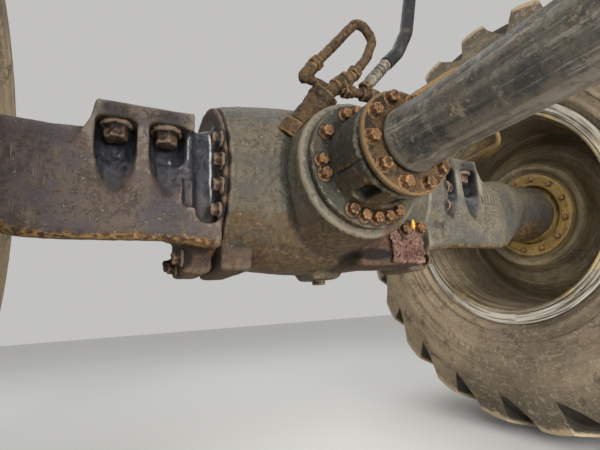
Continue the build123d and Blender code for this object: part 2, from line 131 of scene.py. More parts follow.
class Finish:
    """One procedural material: a Principled shader, and one method that adds any other node."""

    def __init__(self, name, shine=0.2, **sockets):
        self.material = bpy.data.materials.new(name)
        self.material.use_nodes = True
        self.tree = self.material.node_tree
        self.surface = self.tree.nodes["Principled BSDF"]
        self.surface.inputs["Specular IOR Level"].default_value = shine
        for label, value in sockets.items():
            self.surface.inputs[label.replace("_", " ").title()].default_value = value
        self.place = self.node("ShaderNodeTexCoord", {}, {}, "Object")

    def node(self, kind, settings, values, output=0):
        """Adds a node: its settings first, then the values or links of its sockets."""
        added = self.tree.nodes.new(kind)
        for label, value in settings.items():
            if label == "stops":
                ramp = added.color_ramp
                while len(ramp.elements) < len(value):
                    ramp.elements.new(1.0)
                for element, (position, colour) in zip(ramp.elements, value):
                    element.position = position
                    element.color = colour
            else:
                setattr(added, label, value)
        for label, value in values.items():
            socket = added.inputs[label]
            if isinstance(value, Wire):
                self.tree.links.new(value.socket, socket)
            elif hasattr(socket.default_value, "__len__") and not hasattr(value, "__len__"):
                socket.default_value = (value, value, value)
            else:
                socket.default_value = value
        return Wire(self, added.outputs[output])

    def set(self, label, wire):
        self.tree.links.new(wire.socket, self.surface.inputs[label])

    def stretched(self, scale):
        """The Object coordinates, scaled along each axis."""
        return self.node("ShaderNodeMapping", {}, {"Vector": self.place, "Scale": scale})

    def noise(self, scale, detail=4.0, rough=0.55, where=None, distortion=0.0):
        values = {"Vector": where or self.place, "Scale": scale, "Detail": detail, "Roughness": rough,
                  "Distortion": distortion}
        return self.node("ShaderNodeTexNoise", {}, values, "Fac")

    def spots(self, scale, feature="F1", where=None):
        values = {"Vector": where or self.place, "Scale": scale}
        return self.node("ShaderNodeTexVoronoi", {"feature": feature}, values, "Distance")

    def step(self, wire, low, high):
        """0 below low and 1 above high, with a soft step between them."""
        values = {"Value": wire, "From Min": low, "From Max": high, "To Min": 0.0, "To Max": 1.0}
        return self.node("ShaderNodeMapRange", {"interpolation_type": "SMOOTHSTEP"}, values, "Result")

    def mix(self, share, under, over):
        """Colour over laid on colour under by share. Each is a wire or has three channels."""
        under, over = (paint if isinstance(paint, Wire) else (*paint, 1.0) for paint in (under, over))
        return self.node("ShaderNodeMix", {"data_type": "RGBA"}, {"Factor": share, 6: under, 7: over}, 2)

    def start(self, share, first, second):
        """Begin the colour as a blend of two."""
        self.colour = self.mix(share, first, second)

    def lay(self, share, over):
        """Lay one more colour over what is there, by share."""
        self.colour = self.mix(share, self.colour, over)

    def axis(self, name):
        return self.node("ShaderNodeSeparateXYZ", {}, {"Vector": self.place}, name)

    def around(self, turning):
        """Coordinates that follow the axle's circles: along the axle, radius, and angle shrunk by turning."""
        y, z = self.axis("Y"), self.axis("Z") - AXLE_Z
        angle = y.arctan2(z)
        return self.node("ShaderNodeCombineXYZ", {}, {"X": self.axis("X"), "Y": (y * y + z * z) ** 0.5,
                                                      "Z": angle * turning}, "Vector")

    def attribute(self, name):
        return self.node("ShaderNodeAttribute", {"attribute_name": name}, {}, "Fac")

    def bump(self, height, distance):
        values = {"Height": height, "Distance": distance, "Strength": 1.0}
        self.set("Normal", self.node("ShaderNodeBump", {}, values, "Normal"))


def cast_paint(name, paint, brown, lower_rust, gloss, dustiness):
    """Worn paint on a casting: grime, streaks of dust, rust on undersides, crust and oil where stored, and painted
    shade in hollows, round bolts and in the bolt pockets.
    """
    colours = bpy.context.scene.axle_colours
    finish = Finish(name, 0.22, metallic=0.0, coat_roughness=0.16)
    edge, under, soot = finish.attribute("edge"), finish.attribute("under"), finish.attribute("soot")
    oily, crust = finish.attribute("oily"), finish.attribute("crust")
    broad = finish.noise(5.0, 6.0, 0.6)
    middle = finish.noise(24.0, 8.0, 0.68)
    fine = finish.noise(105.0, 6.0, 0.72)
    grit = finish.noise(330.0, 3.0, 0.6)
    drip = finish.noise(62.0, 6.0, 0.7, finish.stretched((1.0, 1.0, 0.09)))
    finish.start(finish.step(broad * 0.6 + middle * 0.4, 0.43, 0.57), paint, brown)
    grime = finish.step(middle * 0.35 + fine * 0.65, 0.48, 0.57)
    finish.lay(grime * 0.6, (0.011, 0.010, 0.008))
    dust = finish.step(drip * 0.4 + middle * 0.25 + fine * 0.35, 0.53, 0.62) * dustiness
    finish.lay(dust, colours.dust)
    rust = finish.step(finish.noise(27.0, 9.0, 0.8, None, 1.2) * 0.65 + fine * 0.35, 0.56, 0.66)
    finish.lay(rust * 0.6, colours.rust)
    lower = finish.step(under * 0.95 + (middle - 0.5) * 1.2, 0.38, 0.80)
    finish.lay(lower * 0.85, finish.mix(finish.step(fine, 0.42, 0.60), (0.040, 0.021, 0.009), lower_rust))
    worn = finish.step(edge + (fine - 0.5) * 1.4, 0.76, 0.94)
    finish.lay(worn * 0.5, (0.20, 0.17, 0.125))
    # Painted shade: concave places are darkened.
    hollow_shade = finish.step(0.5 - edge + (middle - 0.5) * 0.6, 0.05, 0.24)
    finish.lay(hollow_shade * 0.8, (0.009, 0.008, 0.007))
    scratch = finish.noise(80.0, 3.0, 0.5, finish.stretched((3.0, 1.0, 0.4)), 1.6)
    mark = finish.step(scratch, 0.645, 0.70)
    finish.lay(mark * 0.32, (0.24, 0.205, 0.155))
    fleck = finish.step(fine * 0.75 + grit * 0.25, 0.600, 0.640)
    finish.lay(fleck * 0.5, (0.30, 0.25, 0.18))
    # Deep in the bolt pockets and beside the flanges: oil-wet paint, darkened further as painted shade.
    wet_and_shaded = finish.mix(finish.step(fine, 0.38, 0.65), (0.006, 0.006, 0.009), (0.045, 0.045, 0.055))
    finish.lay(oily * finish.step(1.0 - broad * 0.6 - fine * 0.6, 0.22, 0.42) * 0.92, wet_and_shaded)
    scab = finish.mix(finish.step(middle * 0.3 + grit * 0.3 + fine * 0.4, 0.44, 0.58), (0.022, 0.011, 0.006),
                      (0.13, 0.066, 0.036))
    finish.lay(crust * (0.65 + grime * 0.3), scab)
    # Painted shade round the bolts, with the grime gathered there, and in the ledge's slot: near black.
    finish.lay(finish.step(soot + (fine - 0.5) * 1.1, 0.22, 0.78) * 0.88, (0.008, 0.007, 0.006))
    finish.set("Base Color", finish.colour)
    rough = finish.step(middle * 0.5 + fine * 0.5, 0.35, 0.65) * 0.28 + (0.70 - gloss)
    rough = rough + dust * 0.3 + rust * 0.15
    finish.set("Roughness", rough - oily * 0.22 + crust * 0.2)
    finish.set("Coat Weight", oily * (1.0 - dust) * finish.step(fine * 0.5 + middle * 0.5, 0.38, 0.52) * 0.95)
    height = fine * 0.9 + grit * 0.2 + middle * 0.7 + rust * 0.3 - mark * 0.2 - grime * 0.15
    height = height + crust * grit * 1.2
    finish.bump(height, 0.0026)
    return finish.material


def rusty(name, dark, light, coarse=60.0, metal=0.15, worn_colour=(0.26, 0.15, 0.075)):
    """Scaly rust with dark pits, grease patches, painted shade in the hollows and a few worn crests, paler partly
    as a painted highlight.
    """
    finish = Finish(name)
    broad = finish.noise(coarse * 0.35, 6.0, 0.6)
    scale = finish.noise(coarse * 1.8, 9.0, 0.78)
    grit = finish.noise(coarse * 7.0, 4.0, 0.7)
    pit = finish.spots(coarse * 4.0)
    under = finish.attribute("under")
    finish.start(finish.step(broad * 0.45 + scale * 0.55, 0.44, 0.56), dark, light)
    finish.lay(finish.step(scale * 0.5 + grit * 0.5, 0.55, 0.64) * 0.6, worn_colour)
    finish.lay(finish.step(broad * 0.4 + grit * 0.6 + under * 0.06, 0.52, 0.60) * 0.65, (0.012, 0.009, 0.007))
    finish.lay(finish.step(0.22 - pit, 0.0, 0.15) * 0.5, (0.010, 0.008, 0.006))
    stood_out = finish.attribute("edge")
    # Painted shade: concave places are darkened.
    hollow_shade = finish.step(0.5 - stood_out + (scale - 0.5) * 0.5, 0.06, 0.22)
    finish.lay(hollow_shade * 0.85, (0.008, 0.006, 0.005))
    # Worn crests in a paler colour, which also stand in for a painted highlight on the edges.
    edge = finish.step(stood_out + (scale - 0.5) * 0.7, 0.74, 0.94)
    finish.lay(edge * 0.55, worn_colour)
    finish.set("Base Color", finish.colour)
    finish.set("Metallic", edge * metal)
    finish.set("Roughness", scale * 0.35 + 0.5)
    finish.bump(scale * 0.9 + grit * 0.35 + broad * 0.4 - finish.step(0.22 - pit, 0.0, 0.15) * 0.3, 0.0022)
    return finish.material


def shaft_paint():
    """Dark paint on the shaft: scratches along it, dried mud, scuffed rings and a pale bruised line."""
    finish = Finish("shaft_paint", 0.3, metallic=0.0)
    broad = finish.noise(8.0, 6.0, 0.6)
    middle = finish.noise(36.0, 8.0, 0.7)
    fine = finish.noise(150.0, 8.0, 0.78)
    along = finish.noise(75.0, 6.0, 0.7, finish.stretched((1.0, 0.05, 1.0)))
    across = finish.noise(55.0, 6.0, 0.7, finish.stretched((0.25, 1.0, 0.25)))
    finish.start(finish.step(broad * 0.5 + middle * 0.5, 0.43, 0.58), (0.030, 0.030, 0.027),
                 (0.085, 0.078, 0.060))
    finish.lay(finish.step(middle * 0.4 + fine * 0.6, 0.50, 0.60) * 0.7, (0.014, 0.013, 0.011))
    finish.lay(finish.step(along * 0.8 + fine * 0.2, 0.53, 0.60) * 0.7, (0.25, 0.235, 0.195))
    finish.lay(finish.step(along * 0.9 + broad * 0.1, 0.40, 0.46) * -0.6 + 0.6, (0.012, 0.011, 0.009))
    finish.lay(finish.step(across * 0.6 + fine * 0.4, 0.55, 0.61) * 0.6, (0.20, 0.18, 0.14))
    mud = finish.step(finish.noise(30.0, 10.0, 0.8) * 0.75 + broad * 0.25, 0.545, 0.59)
    finish.lay(mud * 0.75, (0.21, 0.165, 0.11))
    fleck = finish.step(finish.noise(190.0, 5.0, 0.7, None, 1.5) * 0.8 + broad * 0.2, 0.615, 0.65)
    finish.lay(fleck * 0.85, (0.38, 0.34, 0.27))
    chip = finish.step(finish.noise(26.0, 10.0, 0.82), 0.61, 0.65)
    finish.lay(chip * 0.6, (0.07, 0.036, 0.018))
    low = finish.step(finish.attribute("under") + (middle - 0.5) * 1.4, 0.62, 1.05)
    finish.lay(low * 0.45, (0.15, 0.115, 0.075))
    edge = finish.step(finish.attribute("edge") + (fine - 0.5) * 0.7, 0.68, 0.84)
    finish.lay(edge * 0.5, (0.20, 0.17, 0.13))
    finish.set("Base Color", finish.colour)
    finish.set("Roughness", 0.46 + middle * 0.25 + mud * 0.3)
    finish.bump(fine * 0.5 + mud * 0.5 + fleck * 0.4 - chip * 0.3 - along * 0.2 + middle * 0.3, 0.0016)
    return finish.material


def wheel_paint(name, paint, light, bright, yellow_share, shine=0.25):
    """Wheel paint worn in circles: dust, rust, painted shade in the hollows and an older yellow showing through.
    """
    colours = bpy.context.scene.axle_colours
    finish = Finish(name, shine, metallic=0.0)
    edge = finish.attribute("edge")
    broad = finish.noise(5.0, 6.0, 0.6)
    middle = finish.noise(21.0, 9.0, 0.7)
    fine = finish.noise(110.0, 8.0, 0.75)
    rings = finish.noise(170.0, 4.0, 0.6, finish.around(0.012))
    finish.start(finish.step(broad * 0.4 + middle * 0.3 + rings * 0.3, 0.43, 0.58), paint, light)
    grime = finish.step(middle * 0.5 + fine * 0.5, 0.49, 0.59)
    finish.lay(grime * 0.6, (0.022, 0.017, 0.011))
    dust = finish.step(finish.noise(13.0, 9.0, 0.72) * 0.6 + fine * 0.4, 0.52, 0.62)
    finish.lay(dust * 0.45, colours.dust)
    rust = finish.step(finish.noise(28.0, 9.0, 0.78, None, 0.7), 0.57, 0.64)
    finish.lay(rust * 0.65, colours.rust)
    yellow = finish.step(finish.noise(6.0, 7.0, 0.65) + edge * 0.22 + (rings - 0.5) * 0.3, 0.63, 0.72)
    finish.lay(yellow * yellow_share, colours.old_yellow)
    ring = finish.step(rings * 0.7 + fine * 0.3, 0.53, 0.62)
    finish.lay(ring * 0.25, bright)
    bare = finish.attribute("bare") * finish.step(rings * 0.85 + broad * 0.15, 0.42, 0.56)
    finish.lay(bare * 0.8, bright)
    worn = finish.step(edge + (fine - 0.5) * 0.8, 0.64, 0.78)
    finish.lay(worn * 0.7, bright)
    # Painted shade: concave places are darkened.
    hollow_shade = finish.step(0.5 - edge + (fine - 0.5) * 0.5, 0.10, 0.30)
    finish.lay(hollow_shade * 0.45, (0.022, 0.017, 0.012))
    finish.set("Base Color", finish.colour)
    finish.set("Roughness", 0.36 + fine * 0.3 + dust * 0.2 + grime * 0.1)
    finish.bump(fine * 0.5 + dust * 0.3 + rust * 0.4 + rings * 0.25, 0.0013)
    return finish.material


def tyre_rubber():
    """Dusty worn rubber: tan dust, pale scuffed bar ends and a stony grain on the wall; dark grooves and a darker
    tread side, partly painted shade, and painted light on one side.
    """
    colours = bpy.context.scene.axle_colours
    finish = Finish("tyre_rubber", 0.12)
    worn, groove = finish.attribute("worn"), finish.attribute("groove")
    broad = finish.noise(4.0, 6.0, 0.6)
    cloud = finish.noise(15.0, 9.0, 0.72)
    fine = finish.noise(80.0, 10.0, 0.8)
    grain = finish.noise(330.0, 4.0, 0.7)
    scuff = finish.noise(55.0, 6.0, 0.7, finish.around(0.10), 0.6)
    y, z = finish.axis("Y"), finish.axis("Z") - AXLE_Z
    radius = (y * y + z * z) ** 0.5
    finish.start(finish.step(broad * 0.5 + cloud * 0.5, 0.42, 0.58), (0.17, 0.132, 0.088), colours.tyre)
    # Darker towards the tread: darker rubber there, and painted shade.
    shoulder = finish.step(radius + (cloud - 0.5) * 0.26 + (fine - 0.5) * 0.12, 0.50, 0.60)
    finish.lay(shoulder * 0.75, (0.085, 0.070, 0.051))
    # Painted light: the wall is lighter and tan towards one side, as where light falls on it.
    painted_lit_side = finish.step(y * 1.3 + (broad - 0.5) * 0.8 + (cloud - 0.5) * 0.5, 0.05, 0.45)
    finish.lay(painted_lit_side * 0.6, (0.47, 0.355, 0.22))
    band = finish.step(finish.noise(60.0, 4.0, 0.6, finish.around(0.02)), 0.46, 0.60)
    finish.lay(band * 0.35, (0.11, 0.09, 0.066))
    finish.lay(finish.step(cloud * 0.45 + fine * 0.55, 0.50, 0.57) * 0.8, (0.070, 0.056, 0.040))
    finish.lay(finish.step(grain * 0.3 + fine * 0.7, 0.525, 0.59) * 0.75, (0.50, 0.41, 0.28))
    finish.lay(finish.step(grain * 0.75 + cloud * 0.25, 0.535, 0.60) * 0.6, (0.04, 0.032, 0.024))
    finish.lay(finish.step(scuff, 0.57, 0.64) * 0.4, (0.42, 0.34, 0.235))
    scraped = finish.step(worn * 0.5 + cloud * 0.6 + fine * 0.4, 0.72, 0.88)
    finish.lay(scraped * 0.8, (0.46, 0.36, 0.23))
    # Grooves and the bars' lower sides: black rubber, darkened further as painted shade.
    dark = finish.step(groove + (fine - 0.5) * 0.7, 0.10, 0.50)
    finish.lay(dark * 0.92, finish.mix(grain, (0.010, 0.009, 0.008), (0.05, 0.042, 0.033)))
    finish.set("Base Color", finish.colour)
    finish.set("Roughness", fine * 0.2 + 0.74)
    crack = finish.step(0.05 - finish.spots(60.0, "DISTANCE_TO_EDGE", finish.around(0.2)), 0.0, 0.05)
    finish.bump(fine * 1.1 + grain * 0.25 + cloud * 0.8 - crack * 0.12, 0.0036)
    return finish.material


def hose_rubber():
    finish = Finish("hose_rubber")
    weave = finish.spots(900.0)
    dust = finish.step(finish.noise(30.0, 6.0), 0.45, 0.7)
    finish.set("Base Color", finish.mix(dust * 0.5, (0.012, 0.012, 0.012), (0.08, 0.07, 0.055)))
    finish.set("Roughness", dust * 0.3 + 0.5)
    finish.bump(weave, 0.0005)
    return finish.material


def make_finishes():
    """One material for each kind of surface, by the name that the pieces ask for."""
    return {
        "arm": cast_paint("arm_paint", (0.046, 0.038, 0.041), (0.082, 0.058, 0.042), (0.36, 0.20, 0.06),
                          0.24, 0.5),
        "housing": cast_paint("housing_paint", (0.056, 0.052, 0.040), (0.104, 0.084, 0.056),
                              (0.115, 0.072, 0.030), 0.14, 0.5),
        "far_arm": cast_paint("far_arm_paint", (0.058, 0.056, 0.048), (0.110, 0.092, 0.064),
                              (0.20, 0.13, 0.05), 0.26, 0.35),
        "carrier": cast_paint("carrier_paint", (0.028, 0.028, 0.019), (0.062, 0.054, 0.034),
                              (0.12, 0.07, 0.025), 0.16, 0.4),
        "rust": rusty("scaly_rust", (0.018, 0.011, 0.006), (0.085, 0.048, 0.019), 60.0, 0.1,
                      (0.20, 0.125, 0.055)),
        "bolt": rusty("rusty_bolts", (0.034, 0.016, 0.008), (0.20, 0.095, 0.036), 90.0, 0.1,
                      (0.36, 0.21, 0.10)),
        "dull_bolt": rusty("dirty_bolts", (0.016, 0.010, 0.008), (0.090, 0.054, 0.034), 90.0, 0.1,
                           (0.22, 0.15, 0.10)),
        "crust": rusty("rust_crust", (0.060, 0.026, 0.018), (0.19, 0.105, 0.075), 110.0, 0.0,
                      (0.32, 0.21, 0.16)),
        "plated": rusty("plated_steel", (0.06, 0.05, 0.038), (0.2, 0.17, 0.13), 60.0, 0.4,
                      (0.40, 0.36, 0.29)),
        "shaft": shaft_paint(),
        "rim": wheel_paint("rim_paint", (0.105, 0.080, 0.048), (0.24, 0.185, 0.115), (0.54, 0.51, 0.45), 0.8),
        "dish": wheel_paint("dish_paint", (0.105, 0.080, 0.042), (0.25, 0.190, 0.105), (0.34, 0.27, 0.17),
                            0.12, 0.6),
        "hub": wheel_paint("hub_paint", (0.135, 0.080, 0.024), (0.30, 0.195, 0.060), (0.40, 0.29, 0.15), 0.5),
        "fleck": wheel_paint("yellow_fleck", (0.45, 0.24, 0.03), (0.6, 0.34, 0.04), (0.7, 0.5, 0.15), 0.2),
        "tyre": tyre_rubber(),
        "hose": hose_rubber(),
    }


finishes = {}


def eased(outline, reach, steps=4):
    """The outline with each corner cut back by reach and rounded; a corner may carry its own reach."""
    smooth = []
    count = len(outline)
    for i, here in enumerate(outline):
        own = here[2] if len(here) > 2 else reach
        here = Vector(here[:2])
        before = Vector(outline[i - 1][:2]) - here
        after = Vector(outline[(i + 1) % count][:2]) - here
        own = min(own, before.length * 0.45, after.length * 0.45)
        if own < 1e-5:
            smooth.append(here)
            continue
        start, stop = here + before.normalized() * own, here + after.normalized() * own
        for step in range(steps + 1):
            share = step / steps
            smooth.append(start.lerp(here, share).lerp(here.lerp(stop, share), share))
    return smooth


def lathe(shape, outline, side=1, steps=112, longest=0.015):
    """Spin a closed outline of (distance along the axle, radius) pairs round the axle, long edges cut up."""
    corners = [Vector(corner) for corner in outline]
    points = []
    for before, here in zip([corners[-1]] + corners, corners):
        cuts = max(1, ceil((here - before).length / longest))
        points += [before.lerp(here, (cut + 1) / cuts) for cut in range(cuts)]
    ring = [shape.verts.new((side * x, 0.0, AXLE_Z + radius)) for x, radius in points]
    edges = [shape.edges.new((ring[i - 1], ring[i])) for i in range(len(ring))]
    bmesh.ops.spin(shape, geom=ring + edges, cent=(0, 0, AXLE_Z), axis=(1, 0, 0), angle=2 * pi, steps=steps,
                   use_merge=True)
    bmesh.ops.recalc_face_normals(shape, faces=shape.faces)


def stood(point, direction, spin=0.0):
    """A place whose Z axis points along direction."""
    turn = Vector(direction).to_track_quat("Z", "Y").to_matrix().to_4x4()
    return Matrix.Translation(point) @ turn @ Matrix.Rotation(spin, 4, "Z")


def drum(shape, place, radius, low, high, top=None, sides=24, bevel=0.0):
    """A round (or six-sided) block along the place's Z axis, from low to high."""
    made = bmesh.ops.create_cone(shape, cap_ends=True, segments=sides, radius1=radius, radius2=top or radius,
                                 depth=high - low,
                                 matrix=place @ Matrix.Translation((0, 0, (low + high) / 2)))
    if bevel:
        edges = {edge for vert in made["verts"] for edge in vert.link_edges}
        edges = [edge for edge in edges if sides < 9 or edge.calc_face_angle(0) > 0.5]
        bmesh.ops.bevel(shape, geom=edges, offset=bevel, segments=2, profile=0.6, affect="EDGES",
                        clamp_overlap=True)


def bolt(shape, point, direction, across, height, chance, washer=1.0, stub=0.0):
    """A hexagon head on its washer, with the thread's end past it where stub is given."""
    place = stood(point, direction, chance.uniform(0, pi))
    place = place @ Matrix.Rotation(chance.uniform(-0.03, 0.03), 4, "X")
    thick = across * 0.16 * washer
    if washer:
        drum(shape, place, across * 0.72, -0.002, thick, None, 20, across * 0.04)
    drum(shape, place, across * 0.577, thick * 0.5, thick + height, across * 0.56, 6, across * 0.07)
    drum(shape, place, across * 0.42, thick + height * 0.9, thick + height * 1.06, across * 0.36, 16,
         across * 0.03)
    if stub:
        drum(shape, place, across * 0.3, thick + height, thick + height + stub, across * 0.28, 14,
             across * 0.04)


def relief(mesh, rounds=4, reach=0.0018):
    """Store how far each vertex stands out of its surroundings (0.5 is flat) and how far it looks down."""
    count = len(mesh.vertices)
    place, normal = coordinates(mesh, "co"), coordinates(mesh, "normal")
    pairs = np.empty(len(mesh.edges) * 2, dtype=np.int64)
    mesh.edges.foreach_get("vertices", pairs)
    first, second = pairs[0::2], pairs[1::2]
    share = np.maximum(np.bincount(first, minlength=count) + np.bincount(second, minlength=count), 1)

    def spread(values):
        total = np.bincount(first, values[second], count) + np.bincount(second, values[first], count)
        return total / share

    middle = place.copy()
    for _ in range(rounds):
        middle = np.stack([spread(middle[:, i]) for i in range(3)], axis=1)
    out = ((place - middle) * normal).sum(axis=1)
    out = spread(out)
    store(mesh, "edge", np.clip(0.5 + out / (2 * reach), 0, 1))
    store(mesh, "under", np.clip(-normal[:, 2], 0, 1))


def store(mesh, name, values):
    layer = mesh.attributes.get(name) or mesh.attributes.new(name, "FLOAT", "POINT")
    layer.data.foreach_set("value", np.asarray(values, dtype=np.float32))


def roughened(mesh, amount, size, seed=0.0):
    """Push each vertex along its normal by two layers of noise."""
    shift = Vector((seed, seed * 0.7, -seed))
    place, normal = coordinates(mesh, "co"), coordinates(mesh, "normal")
    spots = [Vector(spot) / size + shift for spot in place]
    push = np.array([noise.noise(spot) + 0.5 * noise.noise(spot * 2.7) for spot in spots])
    place += normal * push[:, None] * amount
    mesh.vertices.foreach_set("co", place.ravel())
    mesh.update()


def coordinates(mesh, kind):
    """Every vertex's place or normal, one row each."""
    rows = np.empty(len(mesh.vertices) * 3)
    mesh.vertices.foreach_get(kind, rows)
    return rows.reshape(-1, 3)


def piece(name, body, finish, mesh, replaced=(), angle=35.0):
    """Link a finished mesh as an object that rides on a body and stands for CAD nodes."""
    mesh.name = name
    thing = bpy.data.objects.new(name, mesh)
    bpy.context.scene.collection.objects.link(thing)
    mesh.materials.clear()
    mesh.materials.append(finishes[finish])
    mesh.shade_smooth()
    mesh.set_sharp_from_angle(angle=radians(angle))
    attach(thing, body)
    if replaced:
        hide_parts(*replaced)
    return thing


def meshed(shape):
    mesh = bpy.data.meshes.new("made")
    shape.to_mesh(mesh)
    shape.free()
    return mesh


def remeshed(mesh, voxel, relax=0):
    """The mesh as an even skin of small quads, relaxed by rounds of smoothing."""
    thing = bpy.data.objects.new("raw", mesh)
    bpy.context.scene.collection.objects.link(thing)
    skin = thing.modifiers.new("skin", "REMESH")
    skin.mode = "VOXEL"
    skin.voxel_size = voxel
    if relax:
        soft = thing.modifiers.new("soft", "SMOOTH")
        soft.iterations = relax
        soft.factor = 0.5
    bpy.context.view_layer.update()
    evaluated = thing.evaluated_get(bpy.context.evaluated_depsgraph_get())
    even = bpy.data.meshes.new_from_object(evaluated)
    bpy.data.objects.remove(thing)
    bpy.data.meshes.remove(mesh)
    return even


def node_copy(*nodes):
    """The CAD nodes' solids as one merged mesh."""
    shape = bmesh.new()
    for node in nodes:
        shape.from_mesh(frame["nodes"][node].data)
    bmesh.ops.remove_doubles(shape, verts=shape.verts, dist=0.00004)
    return shape


def size(name, default, description):
    return bpy.props.FloatProperty(name=name, description=description, default=default, unit="LENGTH")


def shade(name, default, description):
    return bpy.props.FloatVectorProperty(name=name, description=description, subtype="COLOR", default=default)


class AxleSizes(bpy.types.PropertyGroup):
    """Sizes of the added parts that a user may change before the steps run"""
    frame_bolt: size("Frame bolt", 0.036, "Width across flats of the frame bolts")
    flange_bolt: size("Flange bolt", 0.022, "Width across flats of the arm flange bolts")
    carrier_bolt: size("Carrier bolt", 0.0185, "Width across flats of the carrier bolts")
    ring_bolt: size("Ring bolt", 0.014, "Width across flats of the hub ring bolts")
    cast_grain: size("Cast grain", 0.0011, "How far the castings' skin wavers")
    cast_cell: size("Cast cell", 0.0052, "Size of the castings' mesh cells")


class AxleColours(bpy.types.PropertyGroup):
    """Colours that several finishes share"""
    dust: shade("Dust", (0.185, 0.145, 0.095), "Dry dust")
    rust: shade("Rust", (0.11, 0.05, 0.02), "Rust on paint")
    old_yellow: shade("Old yellow", (0.40, 0.27, 0.07), "Older paint on rims and hubs")
    tyre: shade("Tyre", (0.33, 0.26, 0.175), "Dusty rubber")


class AXLE_OT_castings(bpy.types.Operator):
    """Give the housing, arms and pinion carrier their cast skins"""
    bl_idname = "axle.castings"
    bl_label = "Castings"

    def execute(self, context):
        sizes = context.scene.axle_sizes
        for node, finish, cell, relax in (
            ("centre_housing", "housing", 1.0, 6),
            ("arm_left", "arm", 1.0, 5),
            ("arm_right", "far_arm", 1.0, 5),
            ("pinion_carrier", "carrier", 0.68, 4),
        ):
            mesh = remeshed(meshed(node_copy(node)), sizes.cast_cell * cell, relax)
            relief(mesh)
            store(mesh, "oily", [oil_and_shade_at(vertex.co) for vertex in mesh.vertices])
            store(mesh, "crust", [crustiness(vertex.co) for vertex in mesh.vertices])
            store_shade_and_grime(mesh, (("frame_bolts", 0.024, 0.034), ("flange_bolts", 0.013, 0.015),
                          ("carrier_bolts", 0.011, 0.011)))
            roughened(mesh, sizes.cast_grain, 0.045, 3.0)
            roughened(mesh, sizes.cast_grain * 0.35, 0.012, 9.0)
            piece("cast_" + node, "housing", finish, mesh, [node], 60.0)
        return {"FINISHED"}


def bolt_places():
    """Where each bolt stands and points, by group."""
    frame_bolts = []
    for mount in frame["record"]["mounts"][:2]:
        span = mount["dims"]
        for x in (-1, 1):
            for y in (-1, 1):
                point = (x * span["spacing_x_mm"] / 2000, y * span["spacing_y_mm"] / 2000, -0.028)
                frame_bolts.append((point, (0, 0, -1)))
    flange_bolts = []
    for angle in (163, 180, 197, 214, 232, 250, 270, 290, 308, 326, 343, 0, 17):
        turn = radians(angle)
        under = 240 < angle < 300
        reach, start = (0.172, FLANGE_X + 0.064) if under else (0.150, FLANGE_X + 0.010)
        point = (-start, reach * cos(turn), AXLE_Z + reach * sin(turn))
        flange_bolts.append((point, (-1, 0, 0)))
        if under or angle in (163, 180, 197, 343, 0, 17):
            flange_bolts.append(((start if under else COLLAR_X, point[1], point[2]), (1, 0, 0)))
    carrier_bolts = []
    for angle in (-178, -164, -118, -103, -88, -73, -58, -16, -2, 32, 47, 62, 100, 115, 150):
        turn = radians(angle)
        carrier_bolts.append(((0.1005 * cos(turn), CARRIER_Y, PINION_Z + 0.1005 * sin(turn)), (0, -1, 0)))
    companion_bolts = []
    for angle in range(-33, 327, 36):
        turn = radians(angle)
        companion_bolts.append(((0.0745 * cos(turn), COMPANION_Y, PINION_Z + 0.0745 * sin(turn)), (0, -1, 0)))
    return {"frame_bolts": frame_bolts, "flange_bolts": flange_bolts, "carrier_bolts": carrier_bolts,
            "companion_bolts": companion_bolts}


def store_shade_and_grime(mesh, groups):
    """Store how near each vertex is to a bolt, where grime gathers and painted shade falls, or to the ledge's
    slot: 1 at its washer and 0 past its reach.
    """
    place = coordinates(mesh, "co")
    near = np.full(len(place), 9.0)
    places = bolt_places()
    for group, radius, reach in groups:
        for point, _ in places[group]:
            near = np.minimum(near, (np.linalg.norm(place - np.array(point), axis=1) - radius) / reach)
    # The slot in the ledge under the housing: painted shade.
    recess = (place - np.array(at_axle(0.065, -0.158, -0.166))) / np.array((0.038, 0.05, 0.010))
    near = np.minimum(near, np.linalg.norm(recess, axis=1) - 0.7)
    store(mesh, "soot", np.clip(1 - near, 0, 1))


def oil_and_shade_at(spot):
    """1 deep in the bolt pockets and beside the flanges, where oil has wetted the paint and painted shade darkens
    it, and 0 elsewhere.
    """
    x, y = abs(spot.x), abs(spot.y)
    if not FLANGE_X + 0.011 < x < PAD_END_X or y > 0.1335:
        return 0.0
    height = spot.z - AXLE_Z
    inside = min((0.1335 - y) / 0.008, 1.0)
    low = min(max((height + 0.09) / 0.06, 0.0), 1.0)
    return inside * low


def crustiness(spot):
    """1 on the lumps under the pinion, scabbed over with rust, less on the flanges' rims, and 0 elsewhere."""
    height = spot.z - AXLE_Z
    radius = sqrt(spot.y ** 2 + height ** 2)
    rim = 0.7 if FLANGE_X - 0.003 < abs(spot.x) < FLANGE_X + 0.013 and radius > 0.14 and spot.x < 0 else 0.0
    ledge = min(max((-0.135 - height) / 0.03, 0.0), 0.7) if abs(spot.x) > 0.15 else 0.0
    if spot.y > -0.05 or not 0.02 < spot.x < 0.21 or height > -0.095:
        return max(rim, ledge)
    rearward = min((-0.05 - spot.y) / 0.06, 1.0)
    return min((-0.095 - height) / 0.03, 1.0) * rearward * min((spot.x - 0.02) / 0.02, 1.0)


